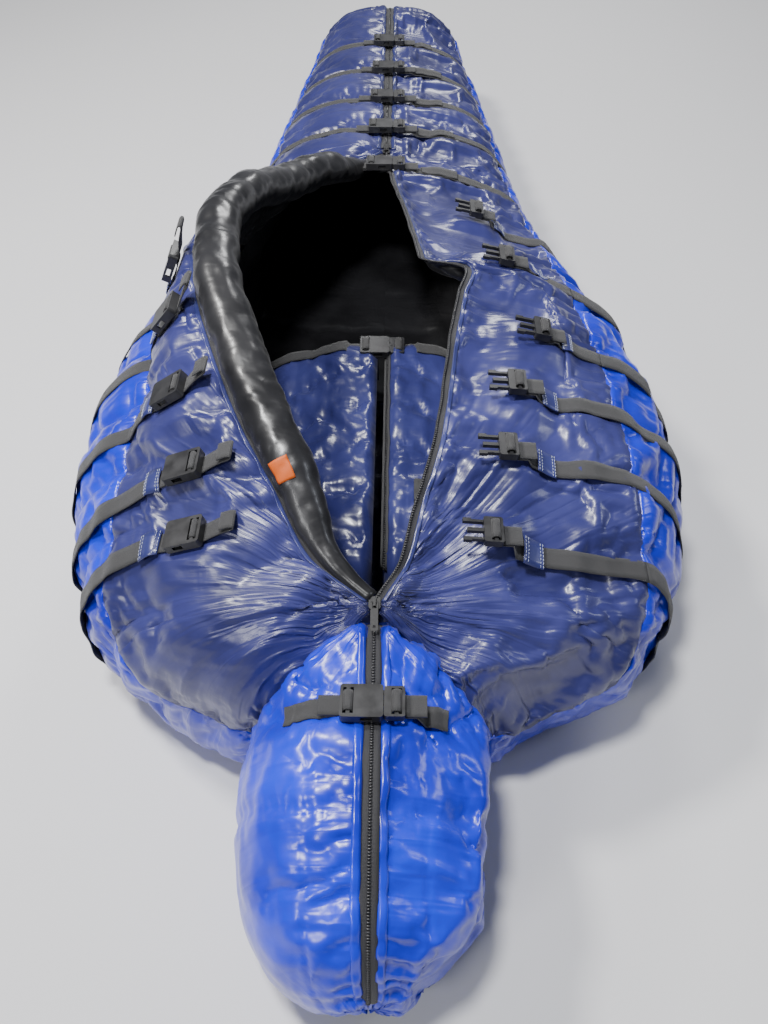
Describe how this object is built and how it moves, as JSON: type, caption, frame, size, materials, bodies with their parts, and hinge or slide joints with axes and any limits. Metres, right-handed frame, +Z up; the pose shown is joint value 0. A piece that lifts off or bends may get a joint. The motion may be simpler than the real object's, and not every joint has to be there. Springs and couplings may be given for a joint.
{
  "type": "mummy sleeping bag",
  "caption": "Down-filled mummy sleeping bag lying on its back, closed hood and legs, opened over the chest, with buckled webbing straps across it and a second bag inside.",
  "frame": {"origin": "on the ground under the middle of the whole bag", "axes": "+Z up from the flat back panel, +Y towards the foot along the bag's length, +X to the right seen from the hood"},
  "size_m": [0.8914, 2.3055, 0.5205],
  "materials": {
    "navy_shell": "glossy coated ripstop nylon, navy",
    "blue_shell": "glossy coated ripstop nylon, royal blue",
    "down": "loose down behind cloth",
    "black_lining": "glossy downproof nylon, black",
    "inner_shell": "glossy downproof nylon, navy",
    "webbing": "woven polyester webbing, charcoal",
    "buckle_plastic": "moulded acetal, fine spark texture",
    "zip_tape": "woven herringbone zip tape, black",
    "zip_coil": "nylon coil, black",
    "slider_metal": "die-cast zinc, black enamel",
    "label_cloth": "woven label, plain orange"
  },
  "bodies": {
    "bag": {"back_fill": "down", "back_shell": "blue_shell", "foot_fill": "down", "foot_shell": "blue_shell", "hang_loop": "blue_shell", "hood_back_shell": "blue_shell", "hood_crown_shell": "blue_shell", "hood_fill": "down", "hood_side_shell": "blue_shell", "hood_socket": "buckle_plastic", "inner_back_panel": "inner_shell", "inner_left_panel": "inner_shell", "inner_right_panel": "inner_shell", "inner_sockets": "buckle_plastic", "keeper_tabs": "navy_shell", "left_side_shell": "blue_shell", "leg_shell": "navy_shell", "leg_sockets": "buckle_plastic", "lining": "black_lining", "right_side_shell": "blue_shell", "shoulder_shell": "navy_shell", "side_fill": "down", "strap_webbing": "webbing", "top_fill": "down", "zip_coils": "zip_coil", "zip_tapes": "zip_tape"},
    "left_flap": {"left_flap_shell": "navy_shell", "left_flap_fill": "down", "left_flap_lining": "black_lining", "left_flap_zip": "zip_tape", "left_flap_webbing": "webbing", "draft_tube": "black_lining", "label": "label_cloth"},
    "right_flap": {"right_flap_shell": "navy_shell", "right_flap_fill": "down", "right_flap_lining": "black_lining", "right_flap_zip": "zip_tape", "right_flap_webbing": "webbing"},
    "leg_slider": {"leg_slider": "slider_metal"},
    "leg_slider_pull": {"leg_slider_pull": "slider_metal"},
    "hood_slider": {"hood_slider": "slider_metal"},
    "hood_slider_pull": {"hood_slider_pull": "slider_metal"},
    "hood_plug": {"hood_plug": "buckle_plastic"},
    "inner_plug": {"inner_plug": "buckle_plastic"},
    "leg_plug_1": {"leg_plug_1": "buckle_plastic"},
    "leg_plug_2": {"leg_plug_2": "buckle_plastic"},
    "leg_plug_3": {"leg_plug_3": "buckle_plastic"},
    "leg_plug_4": {"leg_plug_4": "buckle_plastic"},
    "leg_plug_5": {"leg_plug_5": "buckle_plastic"},
    "torso_plug_1": {"torso_plug_1": "buckle_plastic"},
    "torso_plug_2": {"torso_plug_2": "buckle_plastic"},
    "torso_plug_3": {"torso_plug_3": "buckle_plastic"},
    "torso_plug_4": {"torso_plug_4": "buckle_plastic"},
    "torso_plug_5": {"torso_plug_5": "buckle_plastic"},
    "torso_plug_6": {"torso_plug_6": "buckle_plastic"},
    "torso_socket_1": {"torso_socket_1": "buckle_plastic"},
    "torso_socket_2": {"torso_socket_2": "buckle_plastic"},
    "torso_socket_3": {"torso_socket_3": "buckle_plastic"},
    "torso_socket_4": {"torso_socket_4": "buckle_plastic"},
    "torso_socket_5": {"torso_socket_5": "buckle_plastic"}
  },
  "joints": [
    {"name": "left_flap_hinge", "type": "hinge", "parent": "bag", "child": "left_flap", "pos_m": [-0.3, -0.298, 0.27943], "axis": [-0.0905, -0.9959, -0.0019], "range_deg": [-17, 20]},
    {"name": "right_flap_hinge", "type": "hinge", "parent": "bag", "child": "right_flap", "pos_m": [0.3, -0.298, 0.27943], "axis": [-0.0905, 0.9959, 0.0019], "range_deg": [-12, 10]},
    {"name": "leg_slider_slide", "type": "slide", "parent": "bag", "child": "leg_slider", "axis": [0, 0.9976, -0.069], "range_m": [0, 0.035]},
    {"name": "leg_slider_pull_hinge", "type": "hinge", "parent": "leg_slider", "child": "leg_slider_pull", "pos_m": [0, 0.29048, 0.31313], "axis": [1, 0, 0], "range_deg": [0, 150]},
    {"name": "hood_slider_slide", "type": "slide", "parent": "bag", "child": "hood_slider", "axis": [0, -0.9357, -0.3527], "range_m": [0, 0.035]},
    {"name": "hood_slider_pull_hinge", "type": "hinge", "parent": "hood_slider", "child": "hood_slider_pull", "pos_m": [0, -0.76247, 0.32354], "axis": [-1, 0, 0], "range_deg": [0, 150]},
    {"name": "hood_plug_release", "type": "slide", "parent": "bag", "child": "hood_plug", "axis": [1, 0, 0], "range_m": [0, 0.045]},
    {"name": "inner_plug_release", "type": "slide", "parent": "bag", "child": "inner_plug", "axis": [1, 0, 0], "range_m": [0, 0.045]},
    {"name": "leg_plug_1_release", "type": "slide", "parent": "bag", "child": "leg_plug_1", "axis": [1, 0, 0], "range_m": [0, 0.045]},
    {"name": "leg_plug_2_release", "type": "slide", "parent": "bag", "child": "leg_plug_2", "axis": [1, 0, 0], "range_m": [0, 0.045]},
    {"name": "leg_plug_3_release", "type": "slide", "parent": "bag", "child": "leg_plug_3", "axis": [1, 0, 0], "range_m": [0, 0.045]},
    {"name": "leg_plug_4_release", "type": "slide", "parent": "bag", "child": "leg_plug_4", "axis": [1, 0, 0], "range_m": [0, 0.045]},
    {"name": "leg_plug_5_release", "type": "slide", "parent": "bag", "child": "leg_plug_5", "axis": [1, 0, 0], "range_m": [0, 0.045]},
    {"name": "torso_plug_1_swing", "type": "hinge", "parent": "right_flap", "child": "torso_plug_1", "pos_m": [0.1584, 0.022, 0.3518], "axis": [0, 1, 0], "range_deg": [0, 15]},
    {"name": "torso_plug_2_swing", "type": "hinge", "parent": "right_flap", "child": "torso_plug_2", "pos_m": [0.1874, -0.198, 0.4093], "axis": [0, 1, 0], "range_deg": [0, 15]},
    {"name": "torso_plug_3_swing", "type": "hinge", "parent": "right_flap", "child": "torso_plug_3", "pos_m": [0.2225, -0.374, 0.4127], "axis": [0, 1, 0], "range_deg": [0, 15]},
    {"name": "torso_plug_4_swing", "type": "hinge", "parent": "right_flap", "child": "torso_plug_4", "pos_m": [0.1795, -0.483, 0.4145], "axis": [0, 1, 0], "range_deg": [0, 15]},
    {"name": "torso_plug_5_swing", "type": "hinge", "parent": "right_flap", "child": "torso_plug_5", "pos_m": [0.1626, -0.582, 0.3987], "axis": [0, 1, 0], "range_deg": [0, 15]},
    {"name": "torso_plug_6_swing", "type": "hinge", "parent": "right_flap", "child": "torso_plug_6", "pos_m": [0.1417, -0.684, 0.3585], "axis": [0, 1, 0], "range_deg": [0, 15]},
    {"name": "torso_socket_1_swing", "type": "hinge", "parent": "left_flap", "child": "torso_socket_1", "pos_m": [-0.2922, -0.262, 0.4514], "axis": [0, 1, 0], "range_deg": [0, 45]},
    {"name": "torso_socket_2_swing", "type": "hinge", "parent": "left_flap", "child": "torso_socket_2", "pos_m": [-0.2734, -0.392, 0.46], "axis": [0, 1, 0], "range_deg": [0, 45]},
    {"name": "torso_socket_3_swing", "type": "hinge", "parent": "left_flap", "child": "torso_socket_3", "pos_m": [-0.2484, -0.522, 0.4386], "axis": [0, 1, 0], "range_deg": [0, 45]},
    {"name": "torso_socket_4_swing", "type": "hinge", "parent": "left_flap", "child": "torso_socket_4", "pos_m": [-0.217, -0.624, 0.4067], "axis": [0, 1, 0], "range_deg": [0, 45]},
    {"name": "torso_socket_5_swing", "type": "hinge", "parent": "left_flap", "child": "torso_socket_5", "pos_m": [-0.2122, -0.692, 0.3627], "axis": [0, 1, 0], "range_deg": [0, 45]}
  ]
}
